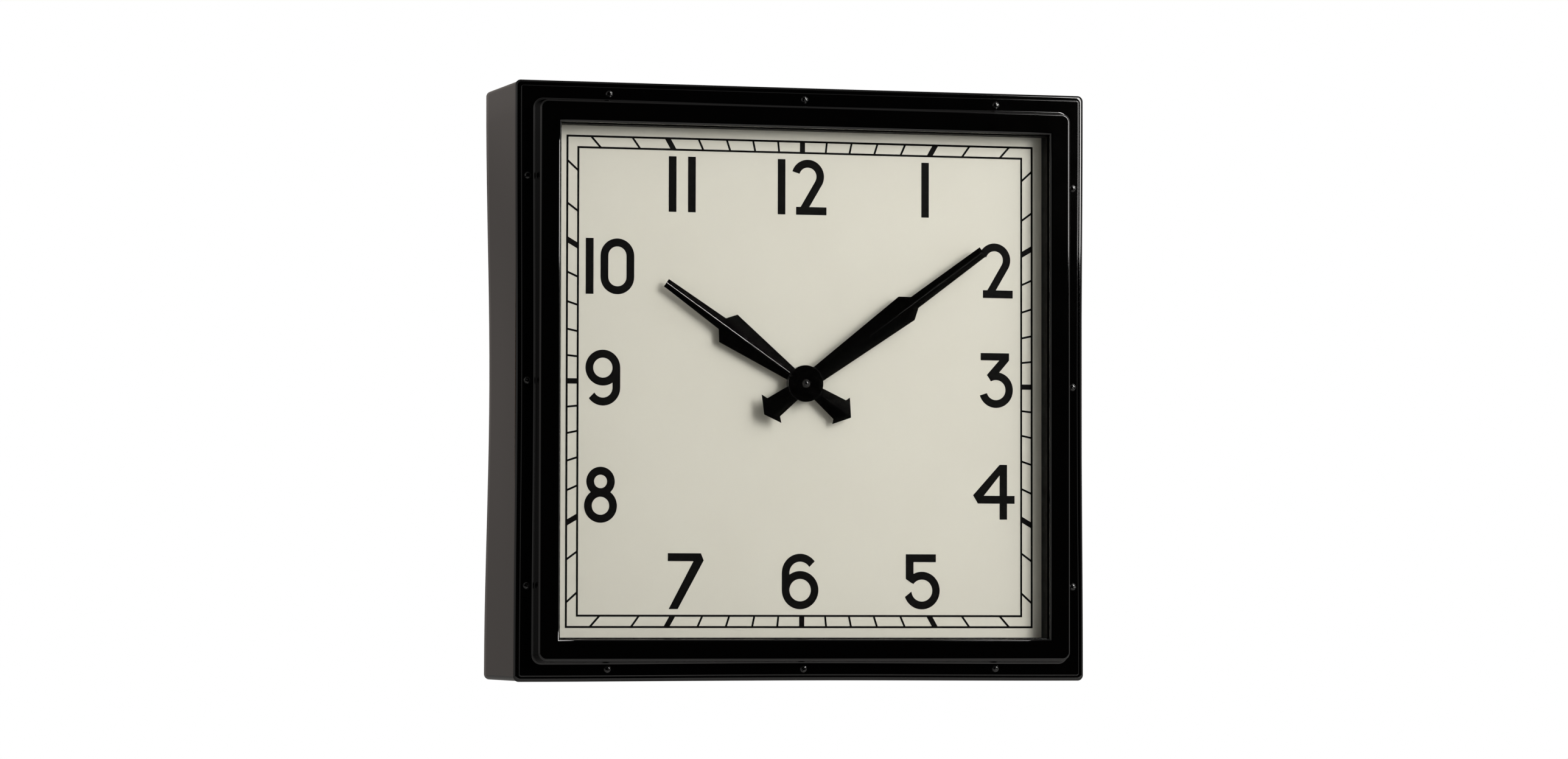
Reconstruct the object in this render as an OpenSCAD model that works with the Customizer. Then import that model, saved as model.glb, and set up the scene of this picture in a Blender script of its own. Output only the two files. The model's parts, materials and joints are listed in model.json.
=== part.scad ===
// Square schoolhouse wall clock with a battery quartz movement.
// Frame: millimetres, +X right, +Z up, the dial faces -Y. The origin is where the axis
// of the hands meets the wall, so the rear rim of the case lies in the plane Y = 0.

/* [Case] */
// Width and height over the bezel flange
face_size = 420; // [400:1:440]
// Distance from the wall to the front of the bezel flange
flange_y = 91; // [85:1:110]
// Sheet thickness of the case and the back panel
case_sheet = 1.2; // [0.8:0.1:1.5]
// Plan radius of the case corners
case_corner = 4; // [3:0.5:5]
// How far the back panel sits inside the rear rim
panel_recess = 5; // [4:0.5:8]
// Size of the square access opening in the back panel
access_size = 130; // [100:1:160]

/* [Bezel] */
// Height of the raised frame in front of the flange
plateau_h = 12.5; // [11:0.5:14]
// Width of the flat flange that carries the screws
flange_w = 13.9; // [13:0.1:15]
// Plan radius of the raised frame's corners
plateau_corner = 8.5; // [7:0.5:10]
// Inward draft of the raised frame's sides
plateau_draft = 1.4; // [0.5:0.1:2]
// Radius along the raised frame's outer front edge
plateau_round = 2.5; // [1:0.5:3]
// Thickness of the flange
flange_t = 2.2; // [2:0.1:3]
// Thickness of the pressed sheet of the raised frame
bezel_sheet = 1.5; // [1:0.1:2]
// Width and height of the window
window_size = 360; // [350:1:370]
// Distance of the screws from the outer edge
screw_inset = 8.7; // [8:0.1:9.5]
// Distance of the outer screws from the middle of a side
screw_pitch = 143; // [120:1:160]

/* [Dial] */
// Depth of the dial's surface behind the flange
dial_depth = -5; // [-7:0.5:-5]
// Half size of the outer square of the minute track
track_outer = 171.8; // [165:0.1:175]
// Half size of the inner square of the minute track
track_inner = 163.9; // [155:0.1:165]
// Width of the minute track's lines
track_line = 1.0; // [0.5:0.1:1.5]
// Width of the twelve hour marks
hour_mark = 3.7; // [2:0.1:5]
// Height of the numerals
numeral_h = 39.2; // [36:0.1:41]
// Width of the numerals' stroke
stroke = 5.6; // [4:0.1:6]

/* [Hands] */
// Minutes past the hour that the hands show
minutes = 9; // [0:1:59]
// Hour that the hands show
hours = 10; // [1:1:12]
// Length of the minute hand from the axis
minute_len = 163; // [150:1:170]
// Length of the hour hand from the axis
hour_len = 123; // [110:1:130]
// Radius of the hands' round hubs
hub_r = 13; // [11:0.5:14]

/* [Movement] */
// Width and height of the movement
move_size = 56; // [56:1:58]
// Depth of the movement without its knob
move_depth = 16; // [16:0.5:17]
// Wall thickness of the movement's housing
move_wall = 1.2; // [1:0.1:1.2]
// Diameter of the AA cell
cell_d = 14.5; // [14:0.1:14.5]
// Length of the AA cell
cell_len = 50.5; // [49.5:0.1:50.5]

/* [Hidden] */
$fn = 64;

// Colours
BLACK = [0.03, 0.03, 0.03];
DARK = [0.08, 0.07, 0.06];
CREAM = [0.86, 0.84, 0.76];
STEEL = [0.62, 0.62, 0.60];
BRASS = [0.75, 0.60, 0.30];

// Case and bezel
face_half = face_size / 2;
window_half = window_size / 2;
plateau_half = face_half - flange_w;
bezel_front = -flange_y - plateau_h;
bezel_back = -flange_y + flange_t;
gasket_t = 0.5;
case_front = bezel_back + gasket_t;
case_half = face_half - 0.5;
case_inner = case_half - case_sheet;
flange_lip = 16.7;
front_opening = case_half - flange_lip;
rear_lip = 13.5;
screw_line = face_half - screw_inset;
screw_r = 1.5;
tapped_r = 1.55;
screw_len = 8;
head_r = 2.5;
head_h = 1.4;
// Angle of each bezel screw's slot, as the screws happen to stand
slot_angles = [35, -50, 20, 130, 65, 100, -20, 45, 155, 80, 10, 120];

// Front stack, from the glass to the movement
seal_t = 0.5;
glass_t = 3;
seal_front = bezel_front + bezel_sheet;
glass_front = seal_front + seal_t;
glass_back = glass_front + glass_t;
dial_front = -flange_y - dial_depth;
dial_t = 1;
board_front = dial_front + dial_t;
board_t = 3;
board_back = board_front + board_t;
ink_t = 0.1;
stack_half = 191.5;
stack_corner = 5;
spacer_half = window_half - 0.8;
bush_clear = 4.3;

// Dial bracket
bracket_w = 30;
bracket_t = 1.2;
bracket_riser = stack_half + 1.8;
bracket_screw_x = 8;
bracket_screw_z = 184;

// Back panel
panel_front = -panel_recess;
panel_back = panel_front + case_sheet;
panel_half = case_inner - 0.5;
panel_screw_line = case_inner - 6;
panel_screw_pitch = 120;
hanger_t = 2;
hanger_z = 160;
hanger_rise = 14;
hanger_entry_r = 5;
hanger_slot_r = 2.5;
rivet_r = 2;
rivets = [[-24, 152], [24, 152], [-24, 184], [24, 184]];

// Hands
minute_angle = minutes * 6;
hour_angle = hours * 30 + minutes / 2;
hand_sheet = 0.6;
hand_ridge = 1.2;
hub_t = 1.2;
hour_y = dial_front - 4.6;
minute_y = dial_front - 7.6;
cap_back = minute_y - 1.4;

// Movement: depths below are measured back from the front of its housing
housing_y = board_back + gasket_t;
move_half = move_size / 2;
cover_d = move_depth - 1.2;
bridge_d = 13.2;
bridge_t = 0.8;
bay_top = -10.8;
bay_wall = 1.0;
cell_z = -19.4;
cell_depth = 8.75;
bush_r = 4.0;
bush_len = 8.5;
hour_pipe_r = 2.5;
minute_pipe_r = 1.6;
fit = 0.05;
pivot_r = 0.3;
arbor_r = 0.4;

// Gear train: each wheel has its teeth, its module and its arbor's place [x, z]
m_train = 0.25;
m_motion = 0.30;
cannon_teeth = 12;
motion_teeth = 36;
motion_pinion_teeth = 10;
hour_teeth = 40;
knob_teeth = 12;
centre_teeth = 64;
third_pinion_teeth = 8;
third_teeth = 60;
second_pinion_teeth = 8;
second_teeth = 60;
intermediate_pinion_teeth = 12;
intermediate_teeth = 60;
rotor_teeth = 10;
motion_gap = spacing(m_motion, cannon_teeth, motion_teeth);
m_hour = 2 * motion_gap / (motion_pinion_teeth + hour_teeth);
motion_dir = 210;
knob_dir = 180;
third_dir = 30;
second_dir = 100;
intermediate_dir = 165;
rotor_dir = 195;
centre_at = [0, 0];
motion_at = step(centre_at, motion_gap, motion_dir);
knob_at = step(motion_at, spacing(m_motion, motion_teeth, knob_teeth), knob_dir);
third_at = step(centre_at, spacing(m_train, centre_teeth, third_pinion_teeth), third_dir);
second_at = step(third_at, spacing(m_train, third_teeth, second_pinion_teeth), second_dir);
intermediate_at = step(second_at,
    spacing(m_train, second_teeth, intermediate_pinion_teeth), intermediate_dir);
rotor_at = step(intermediate_at,
    spacing(m_train, intermediate_teeth, rotor_teeth), rotor_dir);

// Phases that put each pair in mesh; a wheel and its pinion share one phase
motion_phase = mesh_phase(0, cannon_teeth, motion_teeth, motion_dir);
hour_phase = mesh_phase(motion_phase, motion_pinion_teeth, hour_teeth, motion_dir + 180);
knob_phase = mesh_phase(motion_phase, motion_teeth, knob_teeth, knob_dir);
third_phase = mesh_phase(0, centre_teeth, third_pinion_teeth, third_dir);
second_phase = mesh_phase(third_phase, third_teeth, second_pinion_teeth, second_dir);
intermediate_phase = mesh_phase(second_phase, second_teeth,
    intermediate_pinion_teeth, intermediate_dir);
rotor_phase = mesh_phase(intermediate_phase, intermediate_teeth, rotor_teeth, rotor_dir);

// Depths of the wheels
hour_d = 1.9;
motion_d = 3.3;
cannon_d = 3.1;
centre_d = 5.0;
third_d = 6.6;
second_d = 8.2;
intermediate_d = 9.8;
magnet_d = 11.2;
stator_d = 11.5;
stator_t = 0.8;
wheel_t = 0.6;
coil_z = 22.3;
coil_x = [-19.3, -10.6];

bridge_posts = [[17.5, -7.5], [19, 16], [2.5, 24.6], [-14.5, 5.5]];
cover_posts = [[-25, 25], [25, 25], [25, -8], [-25, -8]];
core_posts = [[-21.2, coil_z], [-8.2, coil_z]];
core_x = [-22.9, -6.3];

// Centre distance of two meshing gears
function spacing(m, a, b) = m * (a + b) / 2;
// The point at a distance and an angle from another
function step(p, d, a) = p + d * [cos(a), sin(a)];
// Phase of the second gear of a pair, seen from the first in the direction a
function mesh_phase(phase, teeth, next_teeth, a) =
    a + 180 - (0.5 - (a - phase) * teeth / 360) * 360 / next_teeth;
// Involute angle in degrees of a pressure angle
function inv(a) = tan(a) * 180 / PI - a;

// ---- Helpers: placing and sweeping ----

// A flat outline drawn in X and Z, filled from one depth in Y to the other
module plate(front, back) {
    translate([0, back, 0]) rotate([90, 0, 0]) linear_extrude(back - front) children();
}

// Turns a solid that stands on Z = 0 so that it points to the front from depth y
module face_forward(y) {
    translate([0, y, 0]) rotate([90, 0, 0]) children();
}

// A turned profile (radius, height) that points to the front from depth y at [x, z]
module turned(at, y) {
    translate([at[0], y, at[1]]) rotate([90, 0, 0]) rotate_extrude() children();
}

// A round rod between two depths in Y
module rod(at, r, front, back) {
    translate([at[0], back, at[1]]) rotate([90, 0, 0]) cylinder(r = r, h = back - front);
}

// A rod and an outline placed in the movement, by depth behind its front
module move_rod(at, r, d0, d1) {
    rod(at, r, housing_y + d0, housing_y + d1);
}

module move_plate(d0, d1) {
    plate(housing_y + d0, housing_y + d1) children();
}

module rounded_square(half, r) {
    square([2 * half, 2 * (half - r)], center = true);
    square([2 * (half - r), 2 * half], center = true);
    for (x = [-1, 1], z = [-1, 1])
        translate([x, z] * (half - r)) circle(r);
}

// A block whose four sides carry a profile, drawn outward from the line of corner centres
module swept_square(half, height) {
    for (a = [0:90:270])
        rotate(a) translate([half, half, 0]) {
            rotate_extrude() children();
            rotate([90, 0, 0]) linear_extrude(2 * half) children();
        }
    translate([-half, -half, 0]) cube([2 * half, 2 * half, height]);
}

// Copies a piece to every bezel screw's place; $i counts them
module at_bezel_screws() {
    for (side = [0:3], k = [-1:1]) {
        $i = side * 3 + k + 1;
        rotate([0, side * 90, 0]) translate([k * screw_pitch, 0, screw_line]) children();
    }
}

module at_panel_screws() {
    for (side = [0:3], k = [-1, 1])
        rotate([0, side * 90, 0])
            translate([k * panel_screw_pitch, 0, panel_screw_line]) children();
}

// A screw's domed head, flat side on Z = 0
module dome(r, h) {
    ball = (r * r + h * h) / (2 * h);
    rotate_extrude() intersection() {
        translate([0, h - ball]) circle(ball);
        square([r, h]);
    }
}

// A slotted screw whose head stands on depth y and points to the front
module slotted_screw(y, r, shank, length, h, slot) {
    face_forward(y) {
        difference() {
            dome(r, h);
            rotate(slot) translate([-r - 1, -0.35, h - 0.7]) cube([2 * r + 2, 0.7, 1]);
        }
        translate([0, 0, -length]) cylinder(r = shank, h = length);
    }
}

// ---- Case ----

module case_shell() {
    color(BLACK) difference() {
        union() {
            plate(case_front, 0) difference() {
                rounded_square(case_half, case_corner);
                rounded_square(case_inner, case_corner - case_sheet);
            }
            plate(case_front, case_front + case_sheet) difference() {
                rounded_square(case_half, case_corner);
                rounded_square(front_opening, 6);
            }
            plate(panel_front - case_sheet, panel_front) difference() {
                rounded_square(case_half, case_corner);
                rounded_square(case_half - rear_lip, 6);
            }
        }
        at_bezel_screws() rod([0, 0], tapped_r, case_front - 1, case_front + case_sheet + 1);
        at_panel_screws() rod([0, 0], 1.25, panel_front - case_sheet - 1, panel_front + 1);
    }
}

// A keyhole outline: a round entry with a slot above it
module keyhole(entry, slot) {
    translate([0, hanger_z]) circle(entry);
    translate([-slot, hanger_z]) square([2 * slot, hanger_rise]);
    translate([0, hanger_z + hanger_rise]) circle(slot);
}

module back_panel() {
    color(DARK) difference() {
        plate(panel_front, panel_back) difference() {
            rounded_square(panel_half, 2.5);
            rounded_square(access_size / 2, 12);
            keyhole(8, 8);
            for (p = rivets) translate(p) circle(rivet_r + fit);
        }
        at_panel_screws() rod([0, 0], 1.7, panel_front - 1, panel_back + 1);
    }
}

// Pan-head screws put in from behind
module back_panel_screws() {
    color(STEEL) at_panel_screws()
        translate([0, panel_back, 0]) rotate([0, 0, 180])
            slotted_screw(0, 2.8, 1.2, screw_len, 1.8, 40);
}

module hanger_plate() {
    color(STEEL) plate(panel_front - hanger_t, panel_front) difference() {
        translate([-30, hanger_z - 14]) square([60, 44]);
        keyhole(hanger_entry_r, hanger_slot_r);
        for (p = rivets) translate(p) circle(rivet_r + fit);
    }
}

module hanger_rivets() {
    color(STEEL) for (p = rivets) {
        rod(p, rivet_r, panel_front - hanger_t - 1, panel_back + 1);
        rod(p, 3.5, panel_front - hanger_t - 1, panel_front - hanger_t);
        rod(p, 3.5, panel_back, panel_back + 1);
    }
}

// ---- Bezel ----

module flange_profile() {
    edge = 1.8;
    difference() {
        square([case_corner, flange_t]);
        translate([case_corner - edge, flange_t - edge]) difference() {
            square(edge + 1);
            circle(edge);
        }
    }
}

// Side of the raised frame: drafted, with a rounded top edge and a hollow round at its foot
module plateau_profile() {
    run = norm([plateau_h, plateau_draft]);
    n = [plateau_h, plateau_draft] / run;
    reach = n[0] * plateau_corner;
    foot = 2;
    top = [(reach - plateau_round - n[1] * (plateau_h - plateau_round)) / n[0],
        plateau_h - plateau_round];
    heel = [(reach + foot - n[1] * foot) / n[0], foot];
    polygon([[0, 0], [plateau_corner, 0], top + plateau_round * n, top,
        [top[0], plateau_h], [0, plateau_h]]);
    translate(top) circle(plateau_round);
    difference() {
        polygon([[plateau_corner, 0], [heel[0], 0], heel, heel - foot * n]);
        translate(heel) circle(foot);
    }
}

// Space inside the raised frame, from the back of the flange
module hollow_profile() {
    foot = plateau_corner - bezel_sheet;
    height = flange_t + plateau_h - bezel_sheet;
    polygon([[0, -1], [foot, -1], [foot, flange_t], [foot - plateau_draft, height], [0, height]]);
}

// The window's rounded edge, as the band that it clears across the bezel
module window_band() {
    edge = 2;
    linear_extrude(2 * face_half, center = true) difference() {
        translate([-window_half - edge, -20]) square([2 * (window_half + edge), 25]);
        for (s = [-1, 1]) translate([s * (window_half + edge), 0]) {
            circle(edge);
            translate([-edge, -20 - edge]) square([2 * edge, 20 + edge]);
        }
    }
}

module bezel() {
    color(BLACK) difference() {
        union() {
            face_forward(bezel_back)
                swept_square(face_half - case_corner, flange_t) flange_profile();
            face_forward(-flange_y)
                swept_square(plateau_half - plateau_corner, plateau_h) plateau_profile();
        }
        face_forward(bezel_back)
            swept_square(plateau_half - plateau_corner, flange_t + plateau_h - bezel_sheet)
                hollow_profile();
        face_forward(bezel_front + 2) intersection() {
            rotate([90, 0, 0]) window_band();
            rotate([90, 0, 90]) window_band();
        }
        at_bezel_screws() rod([0, 0], 1.7, -flange_y - 1, bezel_back + 1);
    }
}

module bezel_gasket() {
    color([0.35, 0.26, 0.20]) difference() {
        plate(bezel_back, case_front) difference() {
            rounded_square(case_half - 0.2, case_corner);
            rounded_square(front_opening, 6);
        }
        at_bezel_screws() rod([0, 0], 1.8, bezel_back - 1, case_front + 1);
    }
}

module bezel_screws() {
    color(BLACK) at_bezel_screws()
        slotted_screw(-flange_y, head_r, screw_r, screw_len, head_h, slot_angles[$i]);
}

module bezel_seal() {
    color(BLACK) plate(seal_front, glass_front) difference() {
        rounded_square(stack_half, stack_corner);
        square(2 * window_half + 5, center = true);
    }
}

module glass() {
    color([0.85, 0.92, 0.90, 0.25]) plate(glass_front, glass_back)
        rounded_square(stack_half, stack_corner);
}

module spacer_frame() {
    color(DARK) plate(glass_back, dial_front) difference() {
        rounded_square(stack_half, stack_corner);
        square(2 * spacer_half, center = true);
    }
}

// ---- Dial ----

module dial() {
    color(CREAM) plate(dial_front, board_front) difference() {
        rounded_square(stack_half, stack_corner);
        circle(bush_clear);
    }
}

module square_line(half) {
    difference() {
        square(2 * half + track_line, center = true);
        square(2 * half - track_line, center = true);
    }
}

module minute_track() {
    color(BLACK) plate(dial_front - ink_t, dial_front) {
        square_line(track_outer);
        square_line(track_inner);
        intersection() {
            difference() {
                square(2 * track_outer, center = true);
                square(2 * track_inner, center = true);
            }
            for (k = [0:59]) {
                w = k % 5 == 0 ? hour_mark : track_line;
                rotate(6 * k) translate([track_inner - 10, -w / 2]) square([100, w]);
            }
        }
    }
}

// Ring of the numerals' stroke
module bowl(c, r) {
    translate(c) difference() {
        circle(r);
        circle(r - stroke);
    }
}

module numeral_1() square([stroke, numeral_h]);

module numeral_2() {
    c = [11.7, numeral_h - 12];
    slope = 59.4;
    start = slope - 90;
    end = 163;
    step_in = 0.05;
    difference() {
        bowl(c, 12);
        polygon([c, c + 30 * [cos(start), sin(start)], c - [0, 30], c - [30, 30],
            c + 30 * [cos(end), sin(end)]]);
    }
    intersection() {
        translate(c) rotate(slope) translate([-40, step_in - 12])
            square([41, stroke - 2 * step_in]);
        square([40, numeral_h]);
    }
    translate([3.05, 0]) square([22.5, stroke]);
}

module numeral_3() {
    c = [11.5, 12.8];
    difference() {
        bowl(c, 12.8);
        polygon([c, c + [-23.9, -7.8], c + [-30, 20], c + [-18.5, 30]]);
    }
    polygon([[7.8, 19.3], [13.9, 25.3], [21.4, 34], [21.4, numeral_h], [0, numeral_h],
        [0, 34], [14, 34], [4.6, 23.5]]);
}

module numeral_4() difference() {
    polygon([[0, 17.3], [20, numeral_h], [25.6, numeral_h], [25.6, 17], [31.3, 17],
        [31.3, 11.4], [25.6, 11.4], [25.6, 0], [20, 0], [20, 11.4], [3.6, 11.4]]);
    polygon([[20, 31.5], [8.1, 17], [20, 17]]);
}

module numeral_5() {
    c = [12.9, 13.4];
    difference() {
        bowl(c, 13.4);
        polygon([c + [-3, 2], c + [-8, -0.9], c + [-16.7, -7.7], c + [-30, 20], c + [-14.6, 10.9]]);
    }
    polygon([[5.5, 18.5], [6.7, 24], [6.7, numeral_h - stroke], [23.4, numeral_h - stroke],
        [23.4, numeral_h], [0.9, numeral_h], [0.9, 21.6]]);
}

// The shape of a 6; a 9 is the same shape turned half round
module numeral_6(width) {
    r = width / 2;
    top = [r, numeral_h - r];
    bowl([r, r], r);
    difference() {
        bowl(top, r);
        translate(top + [-r, -30]) square([60, 30]);
        polygon([top, top + [6, 3.4], top + [16, 13.4], top + [30, -1]]);
    }
    translate([0, r]) square([stroke, numeral_h - 2 * r]);
}

module numeral_7() {
    polygon([[0, numeral_h], [24.1, numeral_h], [26.2, numeral_h - 5], [7.3, 0], [0.7, 0],
        [18.7, numeral_h - stroke], [0, numeral_h - stroke]]);
}

module numeral_8() {
    bowl([11.9, 11.9], 11.9);
    bowl([11.9, numeral_h - 10.3], 10.3);
}

module numeral_9() {
    translate([25.2, numeral_h]) rotate(180) numeral_6(25.2);
}

module numeral_0() {
    r = 12.2;
    difference() {
        union() {
            translate([r, r]) circle(r);
            translate([r, numeral_h - r]) circle(r);
            translate([0, r]) square([2 * r, numeral_h - 2 * r]);
        }
        translate([r, r]) circle(r - stroke);
        translate([r, numeral_h - r]) circle(r - stroke);
        translate([stroke, r]) square([2 * (r - stroke), numeral_h - 2 * r]);
    }
}

module dial_numerals() {
    top = 120;
    bottom = -159.2;
    color(BLACK) plate(dial_front - ink_t, dial_front) {
        translate([-18.2, top]) numeral_1();
        translate([-7.7, top]) numeral_2();
        translate([88.6, top]) numeral_1();
        translate([131.9, 63.4]) numeral_2();
        translate([133.3, -15.2]) numeral_3();
        translate([127.6, -95]) numeral_4();
        translate([76.3, bottom]) numeral_5();
        translate([-14.7, bottom]) numeral_6(27);
        translate([-98.2, bottom]) numeral_7();
        translate([-159, -99]) numeral_8();
        translate([-158.3, -17]) numeral_9();
        translate([-158.3, 61.2]) numeral_1();
        translate([-147.6, 61.2]) numeral_0();
        translate([-98.2, top]) numeral_1();
        translate([-84.1, top]) numeral_1();
    }
}

module dial_board() {
    color([0.45, 0.33, 0.22]) difference() {
        plate(board_front, board_back) difference() {
            rounded_square(stack_half, stack_corner);
            circle(bush_clear);
        }
        at_brackets() for (s = [-1, 1])
            rod([s * bracket_screw_x, bracket_screw_z], 1.45, board_front + 0.4, board_back + 1);
    }
}

module at_brackets() {
    for (side = [0:3]) rotate([0, side * 90, 0]) children();
}

// Stepped strips that carry the dial board; the middle screw of each side holds them
module dial_brackets() {
    y = case_front + case_sheet;
    inner = 178;
    color(STEEL) at_brackets() difference() {
        translate([-bracket_w / 2, 0, 0]) {
            translate([0, y, bracket_riser]) cube([bracket_w, bracket_t, 12.7]);
            translate([0, y, bracket_riser])
                cube([bracket_w, board_back + bracket_t - y, bracket_t]);
            translate([0, board_back, inner])
                cube([bracket_w, bracket_t, bracket_riser + bracket_t - inner]);
        }
        rod([0, screw_line], tapped_r, y - 1, y + bracket_t + 1);
        for (s = [-1, 1])
            rod([s * bracket_screw_x, bracket_screw_z], 1.6, board_back - 1,
                board_back + bracket_t + 1);
    }
}

module dial_bracket_screws() {
    color(STEEL) at_brackets() for (s = [-1, 1])
        translate([s * bracket_screw_x, board_back + bracket_t, bracket_screw_z])
            rotate([0, 0, 180]) slotted_screw(0, 2.6, 1.4, 3.6, 1.4, 25);
}

// ---- Hands ----

// Right-hand half of a hand's outline, mirrored to the other side; stations are [along, half width]
module hand_outline(stations) {
    polygon([for (s = stations) [s[1], s[0]]]);
    mirror([1, 0]) polygon([for (s = stations) [s[1], s[0]]]);
}

// Pressed sheet with a crease along its middle: back at depth y, crease towards the front
module creased_blade(y, stations, length) {
    half = 13;
    rise = hand_ridge;
    intersection() {
        plate(y - 5, y + 1) difference() {
            hand_outline(stations);
            circle(hub_r - 1);
        }
        translate([0, y, -60]) linear_extrude(length + 70)
            polygon([[-half, 0], [0, -rise], [half, 0], [half, -hand_sheet],
                [0, -rise - hand_sheet], [-half, -hand_sheet]]);
    }
}

hour_stations = [[hour_len, 0], [hour_len, 3.2], [73.3, 4.7], [67.7, 11.9], [12, 5],
    [-12, 5], [-31.8, 8.2], [-33.2, 11.5], [-41.7, 0]];
minute_stations = [[minute_len, 0], [minute_len, 4], [100, 4.8], [92.8, 10.2], [11, 6],
    [-11, 6], [-28.9, 7.9], [-30.7, 12.3], [-37.8, 0]];

module hour_hand() {
    color(BLACK) rotate([0, hour_angle, 0]) difference() {
        union() {
            creased_blade(hour_y, hour_stations, hour_len);
            rod([0, 0], hub_r, hour_y - hub_t, hour_y);
        }
        rod([0, 0], 4.02, hour_y - 5, hour_y + 1);
    }
}

module hour_collet() {
    color(BRASS) difference() {
        rod([0, 0], 4, hour_y - 1.9, hour_y + 0.3);
        rod([0, 0], hour_pipe_r + 0.02, hour_y - 5, hour_y + 1);
    }
}

module minute_hand() {
    color(BLACK) rotate([0, minute_angle, 0]) difference() {
        union() {
            creased_blade(minute_y, minute_stations, minute_len);
            rod([0, 0], hub_r, minute_y - hub_t, minute_y);
        }
        rod([0, 0], 2.72, minute_y - 5, minute_y + 1);
    }
}

module minute_collet() {
    color(BRASS) difference() {
        rod([0, 0], 2.7, cap_back, minute_y + 0.3);
        rod([0, 0], minute_pipe_r + 0.02, minute_y - 5, minute_y + 1);
    }
}

module hand_cap_nut() {
    color(BLACK) difference() {
        face_forward(cap_back) {
            cylinder(r = 3, h = 1.4);
            translate([0, 0, 1.4]) dome(3, 1.5);
        }
        rod([0, 0], 1.5, cap_back - 2, cap_back + 1);
    }
}

// ---- Gears ----

// Involute gear outline with a tooth centred on the angle phase, and thinned teeth for backlash
module gear(m, teeth, phase, add = 0.85, ded = 1.25) {
    r = m * teeth / 2;
    base = r * cos(20);
    tip = r + add * m;
    root = r - ded * m;
    half = 90 / teeth * 0.82 + inv(20);
    flank = [for (s = [0, 0.5, 1]) max(base, root) + s * (tip - max(base, root))];
    polygon([for (k = [0:teeth - 1], p = tooth_points(flank, base, root, half))
        p[0] * [cos(phase + k * 360 / teeth + p[1]), sin(phase + k * 360 / teeth + p[1])]]);
}

// Points of one tooth as [radius, angle from its middle]
function tooth_points(flank, base, root, half) = concat(
    [[root, -half]],
    [for (r = flank) [r, -(half - inv(acos(base / r)))]],
    [for (k = [len(flank) - 1:-1:0]) [flank[k], half - inv(acos(base / flank[k]))]],
    [[root, half]]);

// One wheel of the train at depth d, with its pinion in front of it and a thin arbor
module train_wheel(at, d, teeth, pinion_teeth, phase) {
    move_plate(d, d + wheel_t) translate(at) gear(m_train, teeth, phase);
    move_plate(d - 1.8, d) translate(at) gear(m_train, pinion_teeth, phase, 0.85, 1.35);
    move_rod(at, arbor_r, d, bridge_d - 0.1);
    move_rod(at, pivot_r, d - 3, bridge_d + 0.7);
}

module hour_wheel() {
    color(BRASS) difference() {
        union() {
            move_plate(hour_d, hour_d + 0.8) gear(m_hour, hour_teeth, hour_phase);
            rod(centre_at, hour_pipe_r, hour_y - 2.2, housing_y + hour_d + 0.1);
        }
        rod(centre_at, minute_pipe_r + fit, hour_y - 5, housing_y + hour_d + 2);
    }
}

module motion_wheel() {
    color([0.9, 0.9, 0.85]) difference() {
        union() {
            move_plate(motion_d, motion_d + 0.7) translate(motion_at)
                gear(m_motion, motion_teeth, motion_phase);
            move_plate(hour_d - 0.1, motion_d) translate(motion_at)
                gear(m_hour, motion_pinion_teeth, motion_phase, 0.85, 1.35);
        }
        move_rod(motion_at, 0.6 + fit, 0, 10);
    }
}

module cannon_pinion() {
    color(BRASS) difference() {
        union() {
            move_plate(cannon_d, cannon_d + 1.3) gear(m_motion, cannon_teeth, 0);
            rod(centre_at, minute_pipe_r, minute_y - 1.4, housing_y + cannon_d - 0.2);
            rod(centre_at, 1.2, minute_y - 1.4, housing_y + cannon_d + 1.3);
            rod(centre_at, 1.45, cap_back - 1.8, cap_back);
        }
        rod(centre_at, 0.62, housing_y - 3, housing_y + 10);
    }
}

module centre_wheel() {
    color([0.9, 0.9, 0.85]) {
        move_plate(centre_d, centre_d + 0.7) gear(m_train, centre_teeth, 0);
        move_rod(centre_at, 0.6, -2.5, centre_d + 2);
        move_rod(centre_at, arbor_r, centre_d, bridge_d - 0.1);
        move_rod(centre_at, pivot_r, centre_d, bridge_d + 0.7);
    }
}

// Dished washer that lets the hands slip on the centre wheel when they are set
module friction_spring() {
    color(STEEL) move_plate(cannon_d + 1.35, centre_d - 0.05) difference() {
        circle(3.2);
        circle(0.65);
        for (a = [0:120:240]) rotate(a) translate([2.2, 0]) circle(0.6);
    }
}

module third_wheel() {
    color([0.9, 0.9, 0.85])
        train_wheel(third_at, third_d, third_teeth, third_pinion_teeth, third_phase);
}

module second_wheel() {
    color([0.9, 0.9, 0.85])
        train_wheel(second_at, second_d, second_teeth, second_pinion_teeth, second_phase);
}

module intermediate_wheel() {
    color([0.9, 0.9, 0.85]) train_wheel(intermediate_at, intermediate_d,
        intermediate_teeth, intermediate_pinion_teeth, intermediate_phase);
}

module rotor_pinion() {
    color([0.9, 0.9, 0.85]) {
        move_plate(magnet_d - 1.6, magnet_d - 0.2) translate(rotor_at)
            gear(m_train, rotor_teeth, rotor_phase, 0.85, 1.35);
        move_rod(rotor_at, arbor_r, magnet_d - 1.6, bridge_d - 0.1);
        move_rod(rotor_at, pivot_r, magnet_d - 2.9, bridge_d + 0.7);
    }
}

module rotor_magnet() {
    color(DARK) difference() {
        move_rod(rotor_at, 1.7, magnet_d, magnet_d + 1.4);
        move_rod(rotor_at, arbor_r + 0.02, magnet_d - 1, magnet_d + 3);
    }
}

// ---- Movement ----

module movement_gasket() {
    color(BLACK) plate(board_back, housing_y) difference() {
        square(40, center = true);
        circle(bush_clear);
    }
}

// Threaded bush that the hands' pipes pass through
module movement_bush() {
    color(BRASS) difference() {
        union() {
            rod([0, 0], bush_r, housing_y - bush_len, housing_y + move_wall);
            move_rod([0, 0], 5.5, move_wall, move_wall + 0.4);
        }
        rod([0, 0], hour_pipe_r + fit, housing_y - bush_len - 1, housing_y + 5);
    }
}

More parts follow.
